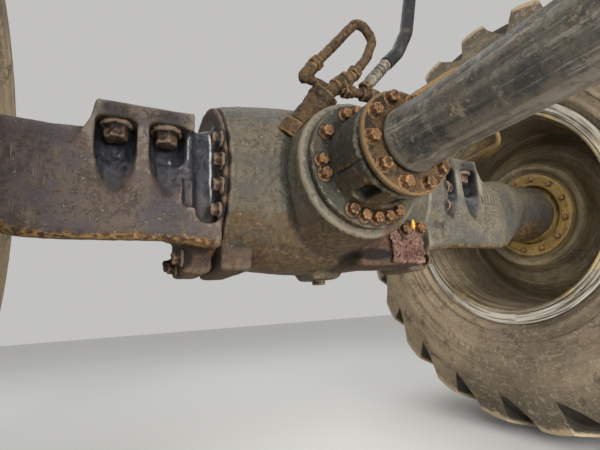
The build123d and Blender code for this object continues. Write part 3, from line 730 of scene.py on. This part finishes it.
class AXLE_OT_bolts(bpy.types.Operator):
    """Add the bolts of the frame pads, arm flanges, pinion carrier and companion flange"""
    bl_idname = "axle.bolts"
    bl_label = "Bolts"

    def execute(self, context):
        sizes = context.scene.axle_sizes
        chance = Random(11)
        places = bolt_places()
        for name, body, across, height, washer, finish, cell, dent in (
            ("frame_bolts", "housing", sizes.frame_bolt, 0.021, 1.2, "dull_bolt", 0.0022, 0.0026),
            ("flange_bolts", "housing", sizes.flange_bolt, 0.013, 1.0, "dull_bolt", 0.0021, 0.0020),
            ("carrier_bolts", "housing", sizes.carrier_bolt, 0.012, 0.8, "bolt", 0.0016, 0.0011),
            ("companion_bolts", "shaft", sizes.carrier_bolt, 0.012, 0.8, "bolt", 0.0016, 0.0011),
        ):
            shape = bmesh.new()
            for point, direction in places[name]:
                bolt(shape, point, direction, across, height, chance, washer)
                if name == "companion_bolts":
                    bolt(shape, (point[0], point[1] + 0.013, point[2]), (0, 1, 0), 0.012, 0.004, chance, 0)
            mesh = remeshed(meshed(shape), cell, 1)
            relief(mesh, 4, 0.0007)
            roughened(mesh, dent, 0.013, 5.0)
            roughened(mesh, dent * 0.5, 0.005, 8.0)
            piece(name, body, finish, mesh, (), 60.0)
        return {"FINISHED"}


class AXLE_OT_stage(bpy.types.Operator):
    """Make the camera, the floor and the lights"""
    bl_idname = "axle.stage"
    bl_label = "Stage"

    def execute(self, context):
        scene = context.scene
        scene.view_settings.view_transform = "Standard"
        data = bpy.data.cameras.new("camera")
        data.sensor_width = SENSOR_MM
        data.lens = FOCAL_PX / PHOTO_WIDTH_PX * SENSOR_MM
        data.clip_start = 0.02
        camera = bpy.data.objects.new("camera", data)
        scene.collection.objects.link(camera)
        yaw, pitch, roll = CAMERA_YAW, CAMERA_PITCH, CAMERA_ROLL
        ahead = Vector((sin(yaw) * cos(pitch), cos(yaw) * cos(pitch), sin(pitch)))
        level = Vector((cos(yaw), -sin(yaw), 0.0))
        above = level.cross(ahead)
        right = cos(roll) * level + sin(roll) * above
        up = -sin(roll) * level + cos(roll) * above
        turn = Matrix((right, up, -ahead)).transposed().to_4x4()
        camera.matrix_world = Matrix.Translation(at_axle(*CAMERA_PLACE)) @ turn
        scene.camera = camera
        world = bpy.data.worlds.new("studio")
        scene.world = world
        world.use_nodes = True
        world.node_tree.nodes["Background"].inputs["Color"].default_value = (0.96, 0.95, 0.93, 1.0)
        world.node_tree.nodes["Background"].inputs["Strength"].default_value = 0.56
        mesh = bpy.data.meshes.new("floor")
        floor = bpy.data.objects.new("floor", mesh)
        scene.collection.objects.link(floor)
        shape = bmesh.new()
        bmesh.ops.create_grid(shape, x_segments=1, y_segments=1, size=12.0,
                              matrix=Matrix.Translation((0, 0, cad_low.z)))
        shape.to_mesh(mesh)
        shape.free()
        paint = Finish("floor_paint", roughness=0.9)
        paint.surface.inputs["Base Color"].default_value = (0.7, 0.7, 0.68, 1.0)
        mesh.materials.append(paint.material)
        for name, place, target, power, size, spread in (
            ("key", (-1.6, -2.4, 1.1), (0, 0, -0.1), 66.0, 1.2, 180),
            ("low", (0.3, -3.2, -0.50), (0.4, 0, -0.12), 34.0, 1.4, 70),
            ("wheel", (-0.2, -1.3, -0.45), (0.9, 0.3, -0.30), 2.2, 0.5, 80),
            ("top", (0.5, 1.0, 2.6), (0, 0, 0), 36.0, 2.0, 180),
        ):
            lamp = bpy.data.lights.new(name, "AREA")
            lamp.energy = power
            lamp.size = size
            lamp.spread = radians(spread)
            holder = bpy.data.objects.new(name, lamp)
            scene.collection.objects.link(holder)
            aim = (Vector(target) - Vector(place)).to_track_quat("-Z", "Y")
            holder.matrix_world = Matrix.Translation(place) @ aim.to_matrix().to_4x4()
        return {"FINISHED"}


class AXLE_OT_tyres(bpy.types.Operator):
    """Build both tyres: carcass, tread bars that run down the shoulders, and rings on the walls"""
    bl_idname = "axle.tyres"
    bl_label = "Tyres"

    def execute(self, context):
        block = self.block()
        for name, side in SIDES:
            shape = bmesh.new()
            shape.verts.layers.float.new("worn")
            self.carcass(shape, side)
            self.marks(shape, side)
            pitch = 2 * pi / LUGS
            chance = Random(5)
            for i in range(LUGS):
                self.bar(shape, block, side, -1, LUG_PHASE + i * pitch, chance)
                self.bar(shape, block, side, 1, LUG_PHASE + (i + 0.5) * pitch, chance)
            mesh = meshed(shape)
            place = coordinates(mesh, "co")
            offset = np.abs(place[:, 0] - side * WHEEL_X)
            radius = np.hypot(place[:, 1], place[:, 2] - AXLE_Z)
            past = offset - 0.19
            face_radius = np.where(past < 0, TYRE_R - 0.158 * offset, TYRE_R - 0.030 - past * 3.6)
            # How far below the bars' faces each spot lies: black rubber and painted shade in the grooves.
            store(mesh, "groove", np.clip((face_radius - radius) / 0.035, 0, 1) * (radius > 0.55))
            roughened(mesh, 0.0016, 0.05, 2.0 + side)
            roughened(mesh, 0.0006, 0.013, 4.0 + side)
            piece("tyre_tread_" + name, "wheel_" + name, "tyre", mesh, ["tyre_" + name], 42.0)
        return {"FINISHED"}

    def carcass(self, shape, side):
        seat = 0.3177
        floor = TYRE_R - 0.035
        half = TYRE_HALF
        wall = [(0.140, seat), (0.166, seat), (0.172, seat + 0.012), (0.174, 0.346), (0.190, 0.362),
                (0.197, 0.366), (0.200, 0.374), (0.196, 0.380), (0.205, 0.402), (0.209, 0.403),
                (0.2105, 0.409), (0.209, 0.415),
                (half - 0.004, 0.440), (half - 0.0005, 0.470), (half + 0.0008, 0.478), (half + 0.0008, 0.483),
                (half - 0.0005, 0.490), (half - 0.004, 0.520), (half - 0.008, 0.550), (half - 0.014, 0.566),
                (half - 0.030, 0.594), (half - 0.062, 0.620), (0.10, floor - 0.006), (0.05, floor)]
        inner = [(0.138, seat + 0.016), (0.148, 0.354), (0.186, 0.430), (0.192, 0.500), (0.17, 0.570),
                 (0.10, floor - 0.036)]
        outline = wall + [(-x, r) for x, r in reversed(wall)] + [(-x, r) for x, r in inner]
        outline = outline + list(reversed(inner))
        lathe(shape, [(WHEEL_X + x, r) for x, r in eased(outline, 0.004, 2)], side, 136, 0.034)

    def marks(self, shape, side):
        """Low blank bars in an arc on each wall, where such tyres carry their raised marks."""
        for wall in (-1, 1):
            for start in (18, 138, 258):
                for i in range(9):
                    turn = radians(start + i * 3.1)
                    tall = 0.020 if i % 4 else 0.013
                    place = Matrix.Rotation(turn, 4, "X") @ Matrix.Translation((0, 0, -0.447))
                    x = side * WHEEL_X + wall * (TYRE_HALF - 0.0032)
                    place = Matrix.Translation((x, 0, AXLE_Z)) @ place
                    place = place @ Matrix.Diagonal((0.003, 0.011 + 0.003 * (i % 3), tall, 1))
                    made = bmesh.ops.create_cube(shape, size=1.0, matrix=place)
                    for vert in made["verts"]:
                        vert[shape.verts.layers.float["worn"]] = 0.55

    def block(self):
        """A unit cube cut into small cells, which each tread bar is warped from."""
        shape = bmesh.new()
        bmesh.ops.create_cube(shape, size=1.0)
        for axis, cuts in ((0, 11), (1, 4), (2, 4)):
            along = [edge for edge in shape.edges
                     if abs(edge.verts[0].co[axis] - edge.verts[1].co[axis]) > 0.5]
            bmesh.ops.subdivide_edges(shape, edges=along, cuts=cuts, use_grid_fill=True)
        return meshed(shape)

    def bar(self, shape, block, side, half, angle, chance):
        """One tread bar: along it from the wall over the shoulder to the tread's middle."""
        start, first = len(shape.verts), len(shape.faces)
        shape.from_mesh(block)
        shape.verts.ensure_lookup_table()
        shape.faces.ensure_lookup_table()
        worn = shape.verts.layers.float["worn"]
        stretch = chance.uniform(0.96, 1.04)
        for vert in shape.verts[start:]:
            along, across, up = vert.co.x + 0.5, vert.co.y * 2, vert.co.z + 0.5
            vert[worn] = up ** 3 * max(abs(across) ** 5, 1.0 - min(along * 7.0, 1.0), 0.25)
            vert.co = self.on_tyre(along, across, up, side, half, angle, stretch)
        if side * half > 0:
            bmesh.ops.reverse_faces(shape, faces=shape.faces[first:])

    def on_tyre(self, along, across, up, side, half, angle, stretch):
        """Where a spot of the block goes: the bar's end is flush with the wall and leans back as it rises."""
        # Along the bar: offset at foot and face, radius at foot and face, half width, foot's spread, turn
        stations = ((0.00, 0.2150, 0.1900, 0.550, 0.645, 0.0435, 0.090, 0.0),
                    (0.10, 0.2000, 0.1790, 0.584, 0.649, 0.0430, 0.056, -0.5),
                    (0.30, 0.1500, 0.1450, 0.608, 0.656, 0.0400, 0.024, -2.6),
                    (0.65, 0.0750, 0.0750, 0.620, 0.668, 0.0360, 0.014, -6.6),
                    (1.00, -0.006, -0.006, 0.630, 0.675, 0.0330, 0.010, -11.0))
        for low, high in zip(stations, stations[1:]):
            if along <= high[0] + 1e-6:
                share = (along - low[0]) / (high[0] - low[0])
                foot_x, face_x, foot_r, face_r, reach, spread, turn = (a + (b - a) * share
                                                                       for a, b in zip(low[1:], high[1:]))
                break
        lean = 1.0 - up
        reach = reach * stretch + (spread * lean ** 1.4 if across > 0 else -0.012 * lean)
        radius = foot_r + (TYRE_R - 0.675 + face_r - foot_r) * up - 0.003 * across * across * up
        offset = foot_x + (face_x - foot_x) * up
        turn = angle + radians(turn) + across * reach / radius
        return Vector((side * (WHEEL_X + half * offset), radius * sin(turn), AXLE_Z - radius * cos(turn)))


class AXLE_OT_wheels(bpy.types.Operator):
    """Build both wheels: rim, side rings, dished disc, hub with its ring of bolts, cover and nuts"""
    bl_idname = "axle.wheels"
    bl_label = "Wheels"

    def execute(self, context):
        chance = Random(23)
        for name, side in SIDES:
            body = "wheel_" + name
            self.rim(name, side, body)
            shape = bmesh.new()
            lathe(shape, self.disc_outline(), side)
            mesh = meshed(shape)
            roughened(mesh, 0.0007, 0.05, 1.0)
            relief(mesh, 2, 0.0030)
            piece("dish_" + name, body, "dish", mesh, ["wheel_disc_" + name], 30.0)
            self.hub(name, side, body)
            self.fixings(name, side, body, chance)
        return {"FINISHED"}

    def rim(self, name, side, body):
        seat, well, wall = 0.3175, 0.303, 0.009
        inner = [(-0.181, seat - wall, 0.002), (-0.150, seat - wall - 0.001), (-0.146, seat - wall - 0.005),
                 (-0.120, seat - wall - 0.006), (-0.096, well - wall), (0.096, well - wall),
                 (0.120, seat - wall - 0.003), (0.181, seat - wall, 0.002)]
        outer = [(0.181, seat, 0.002), (0.122, seat - 0.003), (0.098, well), (-0.098, well),
                 (-0.122, seat - 0.003), (-0.181, seat, 0.002)]
        shape = bmesh.new()
        lathe(shape, [(WHEEL_X + x, r) for x, r in eased(inner + outer, 0.006, 3)], side)
        for sign, ring in ((1, "inner"), (-1, "outer")):
            low = seat + 0.0002
            outline = [(-0.180, low), (-0.168, low), (-0.170, low + 0.006), (-0.176, low + 0.014),
                       (-0.177, 0.342), (-0.181, 0.348), (-0.186, 0.3505), (-0.1885, 0.347),
                       (-0.1865, 0.340), (-0.1835, low + 0.010), (-0.1835, low + 0.003)]
            lathe(shape, [(WHEEL_X + sign * x, r) for x, r in eased(outline, 0.0015, 2)], side)
        mesh = meshed(shape)
        place = coordinates(mesh, "co")
        bare = np.clip((np.hypot(place[:, 1], place[:, 2] - AXLE_Z) - 0.312) / 0.012, 0, 1)
        store(mesh, "bare", bare * (np.abs(place[:, 0] - side * WHEEL_X) > 0.165))
        roughened(mesh, 0.0006, 0.04, 7.0)
        relief(mesh, 2, 0.0030)
        nodes = ["rim_base_" + name, "inner_side_ring_" + name, "outer_side_ring_" + name]
        piece("rim_" + name, body, "rim", mesh, nodes, 30.0)

    def disc_outline(self):
        seat_x, collar, wall = HUB_X + 0.018, 0.170, 0.014
        edge = 0.2938
        near = [(seat_x, 0.118, 0.001), (seat_x, 0.145), (HUB_X - 0.002, 0.155), (HUB_X - 0.006, collar),
                (seat_x + 0.014, collar + 0.024), (0.905, 0.238), (0.932, 0.272), (0.941, edge - 0.002, 0.0),
                (0.941, edge, 0.0)]
        far = [(0.963, edge, 0.0), (0.962, edge - 0.004, 0.0), (0.949, 0.270), (seat_x + 0.044, 0.236),
               (seat_x + 0.032, collar + 0.016), (HUB_X + 0.012, collar - 0.002),
               (seat_x + wall, 0.139), (seat_x + wall, 0.118, 0.001)]
        return eased(near + far, 0.014, 6)

    def hub(self, name, side, body):
        seat_x = HUB_X + 0.018
        low_x = HUB_X + 0.025
        outline = [(low_x, 0.0703), (low_x, 0.093), (low_x - 0.006, 0.097), (HUB_X + 0.003, 0.099),
                   (HUB_X, 0.104), (HUB_X, 0.137), (HUB_X + 0.003, 0.139),
                   (seat_x, 0.139, 0.001), (seat_x, 0.116, 0.002),
                   (HUB_END_X, 0.116), (HUB_END_X, 0.001, 0.0), (HUB_END_X - 0.016, 0.001, 0.0),
                   (HUB_END_X - 0.016, 0.0703)]
        shape = bmesh.new()
        lathe(shape, eased(outline, 0.002, 2), side, 120)
        mesh = meshed(shape)
        roughened(mesh, 0.0006, 0.03, 4.0)
        relief(mesh, 2, 0.0016)
        piece("hub_body_" + name, body, "hub", mesh, ["wheel_hub_" + name], 30.0)
        end = COVER_END_X
        cover = [(HUB_END_X, 0.001, 0.0), (HUB_END_X, 0.112, 0.001), (HUB_END_X + 0.010, 0.112),
                 (HUB_END_X + 0.016, 0.104), (HUB_END_X + 0.018, 0.078),
                 (end - 0.006, 0.062), (end, 0.052), (end, 0.001, 0.0)]
        shape = bmesh.new()
        lathe(shape, eased(cover, 0.003, 3), side, 120)
        mesh = meshed(shape)
        roughened(mesh, 0.0005, 0.03, 6.0)
        relief(mesh, 2, 0.0016)
        piece("end_cover_" + name, body, "hub", mesh, ["hub_cover_" + name], 30.0)

    def fixings(self, name, side, body, chance):
        sizes = bpy.context.scene.axle_sizes
        shape = bmesh.new()
        for i in range(12):
            turn = radians(77 + i * 30 if side > 0 else 103 + i * 30)
            point = (side * HUB_X, 0.1215 * cos(turn), AXLE_Z + 0.1215 * sin(turn))
            bolt(shape, point, (-side, 0, 0), sizes.ring_bolt, 0.009, chance, 0.8)
        nut_x = HUB_X + 0.032
        for i in range(10):
            turn = radians(i * 36)
            point = (side * nut_x, 0.1275 * cos(turn), AXLE_Z + 0.1275 * sin(turn))
            bolt(shape, point, (side, 0, 0), 0.019, 0.014, chance, 0, 0.010)
        for i in range(8):
            turn = radians(i * 45 + 10)
            point = (side * (HUB_END_X + 0.0165), 0.093 * cos(turn), AXLE_Z + 0.093 * sin(turn))
            bolt(shape, point, (side, 0, 0), 0.016, 0.009, chance, 0.8)
        middle = stood((side * COVER_END_X, 0, AXLE_Z), (side, 0, 0))
        drum(shape, middle, 0.019, -0.002, 0.009, 0.0185, 6, 0.002)
        mesh = remeshed(meshed(shape), 0.0024, 1)
        relief(mesh, 3, 0.0009)
        roughened(mesh, 0.0009, 0.009, 5.0)
        piece("wheel_bolts_" + name, body, "bolt", mesh)


class AXLE_OT_shaft(bpy.types.Operator):
    """Build the propeller shaft's skin: companion flange, tube with its welds, yokes, cross and caps"""
    bl_idname = "axle.shaft"
    bl_label = "Propeller shaft"

    def execute(self, context):
        spline_y = TUBE_END_Y - 0.07
        for node, body, slot, finish, cell in (
            ("companion_flange", "shaft", "rusty_steel", "rust", 0.0025),
            ("shaft_tube", "shaft", "shaft_paint", "shaft", 0.0042),
            ("slip_yoke", "slip_yoke", "shaft_paint", "shaft", 0.0030),
            ("end_yoke", "end_yoke", "shaft_paint", "shaft", 0.0030),
            ("joint_cross", "joint_cross", "plated_steel", "plated", 0.0017),
        ):
            mesh = remeshed(meshed(node_copy(node)), cell, 2)
            relief(mesh, 5, 0.0008)
            roughened(mesh, 0.0004, 0.03, 3.0)
            if node == "companion_flange":
                self.drawn_in(mesh, NOSE_END_Y - 0.003, 0.0415)
            if node == "slip_yoke":
                self.drawn_in(mesh, spline_y, 0.0250)
            piece("skin_" + node, body, finish, mesh, [node], 50.0)
        shape = bmesh.new()
        self.bead(shape, TUBE_END_Y + 0.112, 0.0492)
        mesh = meshed(shape)
        roughened(mesh, 0.0009, 0.006, 3.0)
        relief(mesh, 2, 0.0008)
        piece("tube_welds", "shaft", "shaft", mesh)
        return {"FINISHED"}

    def drawn_in(self, mesh, past, radius, slack=0.0010):
        """Draw a turned end in by slack, where it runs inside another piece past a place along the shaft."""
        place = coordinates(mesh, "co")
        x, z = place[:, 0], place[:, 2] - PINION_Z
        reach = np.hypot(x, z)
        inside = (place[:, 1] > past) & (reach < radius) & (reach > slack * 4)
        share = np.where(inside, 1 - slack / np.maximum(reach, slack), 1.0)
        place[:, 0], place[:, 2] = x * share, PINION_Z + z * share
        mesh.vertices.foreach_set("co", place.ravel())

    def bead(self, shape, y, radius):
        """A weld bead round the tube."""
        ring = []
        for i in range(8):
            turn = 2 * pi * i / 8
            ring.append(shape.verts.new((0, y + 0.0045 * cos(turn), PINION_Z + radius + 0.0022 * sin(turn))))
        edges = [shape.edges.new((ring[i - 1], ring[i])) for i in range(8)]
        bmesh.ops.spin(shape, geom=ring + edges, cent=(0, y, PINION_Z), axis=(0, 1, 0), angle=2 * pi,
                       steps=96, use_merge=True)
        bmesh.ops.recalc_face_normals(shape, faces=shape.faces)


class AXLE_OT_fittings(bpy.types.Operator):
    """Build the brake cylinder, pipes, unions, tee, hose and plugs, rusted and caked"""
    bl_idname = "axle.fittings"
    bl_label = "Brake fittings"

    def execute(self, context):
        for node, slot, finish, cell, dent in (
            ("brake_cylinder", "rusty_steel", "rust", 0.0021, 0.0013),
            ("brake_pipe_bend", "rusty_steel", "rust", 0.0020, 0.0009),
            ("pipe_elbow", "rusty_steel", "rust", 0.0018, 0.0012),
            ("brake_tee", "rusty_steel", "rust", 0.0016, 0.0009),
            ("brake_line_right", "rusty_steel", "rust", 0.0026, 0.0005),
            ("brake_line_left", "rusty_steel", "rust", 0.0028, 0.0005),
            ("hose_ferrule", "plated_steel", "plated", 0.0016, 0.0005),
            ("brake_hose", "hose_rubber", "hose", 0.0023, 0.0003),
            ("drain_plug", "rusty_steel", "dull_bolt", 0.0018, 0.0006),
            ("breather", "rusty_steel", "rust", 0.0018, 0.0006),
        ):
            mesh = remeshed(meshed(node_copy(node)), cell, 2)
            relief(mesh, 5, 0.0008)
            roughened(mesh, dent, 0.016, 3.0)
            roughened(mesh, dent * 0.6, 0.0055, 8.0)
            piece("skin_" + node, "housing", finish, mesh, [node], 50.0)
        return {"FINISHED"}


def at_axle(x, y, z):
    """A place given from the axle's centre line, in the part's frame."""
    return Vector((x, y, z + AXLE_Z))


class AXLE_OT_details(bpy.types.Operator):
    """Add the rust crust and its bolts, pipe nuts, crimp rings, and blank cast marks"""
    bl_idname = "axle.details"
    bl_label = "Small details"

    def execute(self, context):
        chance = Random(31)
        self.crust()
        lug_bolts = bmesh.new()
        for x, z in ((0.142, -0.114), (0.184, -0.110)):
            bolt(lug_bolts, at_axle(x, -0.164, z), (0, -1, 0), 0.021, 0.012, chance, 1.3)
        mesh = remeshed(meshed(lug_bolts), 0.0014, 1)
        relief(mesh, 4, 0.0007)
        roughened(mesh, 0.0016, 0.009, 5.0)
        piece("lug_bolts", "housing", "bolt", mesh)
        fleck = bmesh.new()
        place = Matrix.Translation(at_axle(0.168, -0.168, -0.102))
        place = place @ Matrix.Diagonal((0.0045, 0.002, 0.011, 1))
        bmesh.ops.create_icosphere(fleck, subdivisions=4, radius=1.0, matrix=place)
        mesh = meshed(fleck)
        roughened(mesh, 0.0030, 0.007, 2.0)
        relief(mesh)
        piece("yellow_fleck", "housing", "fleck", mesh)
        self.nuts(chance)
        self.cast_marks()
        return {"FINISHED"}

    def crust(self):
        shape = bmesh.new()
        for x, y, z, width, depth, height in ((0.150, -0.158, -0.150, 0.084, 0.014, 0.070),
                                              (0.128, -0.160, -0.160, 0.044, 0.016, 0.044),
                                              (0.168, -0.160, -0.142, 0.050, 0.013, 0.050)):
            place = Matrix.Translation(at_axle(x, y, z)) @ Matrix.Diagonal((width, depth, height, 1))
            bmesh.ops.create_cube(shape, size=1.0, matrix=place)
        mesh = remeshed(meshed(shape), 0.0019, 3)
        roughened(mesh, 0.0032, 0.014, 3.0)
        roughened(mesh, 0.0016, 0.0055, 6.0)
        relief(mesh, 4, 0.0012)
        piece("rust_crust", "housing", "crust", mesh, (), 60.0)

    def nuts(self, chance):
        """Hexagon nuts on the pipe ends, and crimp rings round the hose's ferrule."""
        shape = bmesh.new()
        for start, end, share, radius, length in (
            ((-0.112, -0.158, 0.058), (-0.052, -0.204, 0.143), 0.93, 0.0290, 0.012),
            ((-0.022, -0.213, 0.154), (0.118, -0.215, 0.156), 0.10, 0.0165, 0.013),
            ((-0.022, -0.213, 0.154), (0.118, -0.215, 0.156), 0.56, 0.0170, 0.015),
            ((-0.022, -0.213, 0.154), (0.118, -0.215, 0.156), 0.90, 0.0150, 0.013),
            ((0.009, -0.215, 0.191), (0.051, -0.215, 0.242), 0.16, 0.0160, 0.016),
            ((-0.084, -0.215, 0.187), (0.042, -0.215, 0.335), 0.07, 0.0160, 0.016),
            ((0.036, -0.215, 0.168), (0.104, -0.215, 0.243), 0.06, 0.0150, 0.012),
        ):
            start, end = at_axle(*start), at_axle(*end)
            place = stood(start.lerp(end, share), end - start, chance.uniform(0, 1))
            drum(shape, place, radius, -length / 2, length / 2, None, 6, 0.0016)
        mesh = remeshed(meshed(shape), 0.0019, 1)
        relief(mesh, 4, 0.0007)
        roughened(mesh, 0.0008, 0.008, 5.0)
        piece("pipe_nuts", "housing", "rust", mesh)
        shape = bmesh.new()
        start, end = at_axle(0.036, -0.215, 0.168), at_axle(0.104, -0.215, 0.243)
        for share in (0.30, 0.42, 0.54, 0.66, 0.78, 0.94):
            drum(shape, stood(start.lerp(end, share), end - start), 0.0132, -0.0022, 0.0022, None, 24, 0.0012)
        mesh = meshed(shape)
        relief(mesh)
        piece("crimp_rings", "housing", "plated", mesh)

    def cast_marks(self):
        """Blank raised marks on the right arm's rear face: a frame, three uprights and three lines."""
        shape = bmesh.new()
        bars = [(0.450 + i * 0.012, -0.016, 0.0035, 0.024) for i in range(5)]
        bars += [(0.478, -0.034 - i * 0.009, 0.050 - i * 0.006, 0.0032) for i in range(3)]
        for x, z, width, height in bars:
            place = Matrix.Translation(at_axle(x, -0.1372, z)) @ Matrix.Diagonal((width, 0.004, height, 1))
            bmesh.ops.create_cube(shape, size=1.0, matrix=place)
        bmesh.ops.bevel(shape, geom=shape.edges[:], offset=0.0008, segments=2, affect="EDGES",
                        clamp_overlap=True)
        mesh = meshed(shape)
        roughened(mesh, 0.0010, 0.012, 5.0)
        store(mesh, "edge", [0.9] * len(mesh.vertices))
        piece("cast_marks", "housing", "arm", mesh)


STEPS = (AXLE_OT_stage, AXLE_OT_castings, AXLE_OT_bolts, AXLE_OT_tyres, AXLE_OT_wheels, AXLE_OT_shaft,
         AXLE_OT_fittings, AXLE_OT_details)


class AXLE_PT_panel(bpy.types.Panel):
    """List the steps in the 3D view's sidebar"""
    bl_idname = "AXLE_PT_panel"
    bl_label = "Axle"
    bl_space_type = "VIEW_3D"
    bl_region_type = "UI"
    bl_category = "Axle"

    def draw(self, context):
        for group in (context.scene.axle_sizes, context.scene.axle_colours):
            for name in group.__annotations__:
                self.layout.prop(group, name)
        for step in STEPS:
            self.layout.operator(step.bl_idname)


CLASSES = (AxleSizes, AxleColours) + STEPS + (AXLE_PT_panel,)


def register():
    for cls in CLASSES:
        bpy.utils.register_class(cls)
    bpy.types.Scene.axle_sizes = bpy.props.PointerProperty(type=AxleSizes)
    bpy.types.Scene.axle_colours = bpy.props.PointerProperty(type=AxleColours)


def unregister():
    del bpy.types.Scene.axle_colours
    del bpy.types.Scene.axle_sizes
    for cls in reversed(CLASSES):
        bpy.utils.unregister_class(cls)


def main():
    register()
    finishes.update(make_finishes())
    bpy.ops.axle.stage()
    bpy.ops.axle.castings()
    bpy.ops.axle.bolts()
    bpy.ops.axle.tyres()
    bpy.ops.axle.wheels()
    bpy.ops.axle.shaft()
    bpy.ops.axle.fittings()
    bpy.ops.axle.details()


if __name__ == "__main__":
    main()
